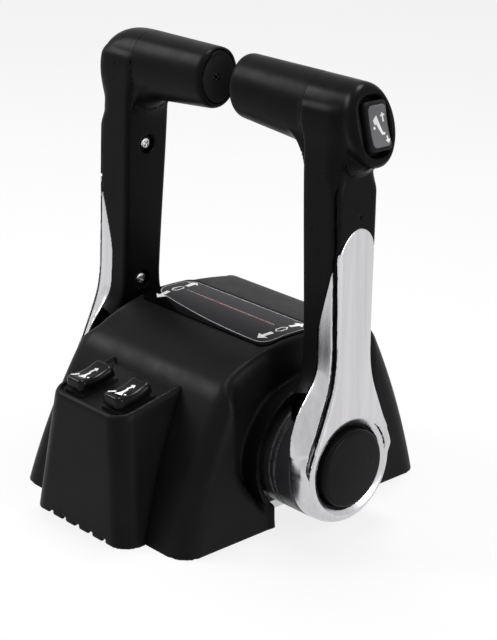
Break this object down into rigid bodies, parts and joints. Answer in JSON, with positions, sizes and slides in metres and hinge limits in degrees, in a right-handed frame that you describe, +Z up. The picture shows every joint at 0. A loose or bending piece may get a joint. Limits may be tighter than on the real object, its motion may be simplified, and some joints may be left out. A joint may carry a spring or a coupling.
{
  "type": "boat throttle and shift control",
  "caption": "Binnacle throttle and shift control for a boat: rounded cover with a lever on each side, their grips turned inward, a thumb trim switch and a switch pod.",
  "frame": {"origin": "middle of the four deck bolts, on the deck", "axes": "+Z up from the deck; the levers turn about X; -Y forward, towards the switch pod; +X towards the lever with the trim switch"},
  "size_m": [0.2141, 0.2015, 0.25],
  "materials": {
    "cover_plastic": "fine grained black moulding, satin",
    "label_film": "glossy black film with printed marks",
    "plate_metal": "rolled plate",
    "frame_metal": "cast, lightly blasted",
    "steel": "turned and passivated",
    "spring_steel": "spring temper",
    "gear_metal": "cut teeth, oiled",
    "bronze": "sintered bearing metal",
    "pad_plastic": "bearing plastic",
    "socket_plastic": "moulded black",
    "switch_plastic": "moulded black",
    "pod_plastic": "fine grained black moulding, satin",
    "pod_rocker_plastic": "dark grey moulding with white marks",
    "rocker_plastic": "grey moulding with white marks",
    "housing_plastic": "black, semi gloss",
    "hub_metal": "black, semi gloss",
    "arm_plastic": "black moulding, satin",
    "bright_metal": "satin bright plate",
    "grip_rubber": "smooth black, soft sheen",
    "cap_plastic": "moulded black",
    "button_plastic": "moulded black, satin"
  },
  "bodies": {
    "housing": {"cover": "cover_plastic", "label_plate": "label_film", "base_plate": "plate_metal", "frame_screws": "steel", "cable_sockets": "socket_plastic", "shaft_bushings": "bronze", "friction_pads": "pad_plastic", "friction_screws": "steel", "shift_axles": "steel", "shift_axle_clips": "steel", "small_screws": "steel", "neutral_switches": "switch_plastic", "switch_pod": "pod_plastic", "pod_switch_bodies": "switch_plastic", "port_side_plate": "frame_metal", "port_detent_spring": "spring_steel", "starboard_side_plate": "frame_metal", "starboard_detent_spring": "spring_steel"},
    "port_lever": {"port_shaft": "steel", "port_shaft_clip": "steel", "port_drive_gear": "gear_metal", "port_throttle_arm": "frame_metal", "port_throttle_pin": "steel", "port_hub": "hub_metal", "port_hub_bolt": "steel", "port_lever_bar": "frame_metal", "port_arm_inner_cover": "arm_plastic", "port_arm_outer_cover": "arm_plastic", "port_chrome_cover": "bright_metal", "port_lever_screws": "steel", "port_grip": "grip_rubber", "port_grip_cap": "cap_plastic", "port_button_spring": "spring_steel", "trim_housing": "housing_plastic", "trim_switch_body": "switch_plastic"},
    "starboard_lever": {"starboard_shaft": "steel", "starboard_shaft_clip": "steel", "starboard_drive_gear": "gear_metal", "starboard_throttle_arm": "frame_metal", "starboard_throttle_pin": "steel", "starboard_hub": "hub_metal", "starboard_hub_bolt": "steel", "starboard_lever_bar": "frame_metal", "starboard_arm_inner_cover": "arm_plastic", "starboard_arm_outer_cover": "arm_plastic", "starboard_chrome_cover": "bright_metal", "starboard_lever_screws": "steel", "starboard_grip": "grip_rubber", "starboard_grip_cap": "cap_plastic", "starboard_button_spring": "spring_steel"},
    "port_shift_sector": {"port_shift_gear": "gear_metal", "port_shift_pin": "steel"},
    "port_warm_up_button": {"port_button": "button_plastic"},
    "port_pod_switch": {"port_pod_rocker": "pod_rocker_plastic"},
    "starboard_shift_sector": {"starboard_shift_gear": "gear_metal", "starboard_shift_pin": "steel"},
    "starboard_warm_up_button": {"starboard_button": "button_plastic"},
    "starboard_pod_switch": {"starboard_pod_rocker": "pod_rocker_plastic"},
    "trim_switch": {"trim_rocker": "rocker_plastic"}
  },
  "joints": [
    {"name": "port_lever_hinge", "type": "hinge", "parent": "housing", "child": "port_lever", "pos_m": [0, 0, 0.039], "axis": [1, 0, 0], "range_deg": [-70, 90], "deforming": ["port_detent_spring"]},
    {"name": "port_shift_hinge", "type": "hinge", "parent": "housing", "child": "port_shift_sector", "pos_m": [0, 0.048, 0.039], "axis": [1, 0, 0], "range_deg": [-30, 23.33]},
    {"name": "port_button_slide", "type": "slide", "parent": "port_lever", "child": "port_warm_up_button", "axis": [-1, 0, 0], "range_m": [0, 0.004], "stiffness_N_per_m": 900, "springref_m": -0.003, "deforming": ["port_button_spring"]},
    {"name": "port_pod_switch_hinge", "type": "hinge", "parent": "housing", "child": "port_pod_switch", "pos_m": [0.0155, -0.08528, 0.0742], "axis": [1, 0, 0], "range_deg": [-8, 8], "stiffness_Nm_per_rad": 0.3},
    {"name": "starboard_lever_hinge", "type": "hinge", "parent": "housing", "child": "starboard_lever", "pos_m": [0, 0, 0.039], "axis": [1, 0, 0], "range_deg": [-70, 90], "deforming": ["starboard_detent_spring"]},
    {"name": "starboard_shift_hinge", "type": "hinge", "parent": "housing", "child": "starboard_shift_sector", "pos_m": [0, 0.048, 0.039], "axis": [1, 0, 0], "range_deg": [-30, 23.33]},
    {"name": "starboard_button_slide", "type": "slide", "parent": "starboard_lever", "child": "starboard_warm_up_button", "axis": [1, 0, 0], "range_m": [0, 0.004], "stiffness_N_per_m": 900, "springref_m": -0.003, "deforming": ["starboard_button_spring"]},
    {"name": "starboard_pod_switch_hinge", "type": "hinge", "parent": "housing", "child": "starboard_pod_switch", "pos_m": [-0.0155, -0.08528, 0.0742], "axis": [1, 0, 0], "range_deg": [-8, 8], "stiffness_Nm_per_rad": 0.3},
    {"name": "trim_switch_hinge", "type": "hinge", "parent": "port_lever", "child": "trim_switch", "pos_m": [0.10021, 0, 0.22758], "axis": [0, 1, 0], "range_deg": [-10, 10], "stiffness_Nm_per_rad": 0.3}
  ],
  "couplings": [
    {"joint": "port_shift_hinge", "follows": "port_lever_hinge", "ratio": -0.33333},
    {"joint": "starboard_shift_hinge", "follows": "starboard_lever_hinge", "ratio": -0.33333}
  ]
}
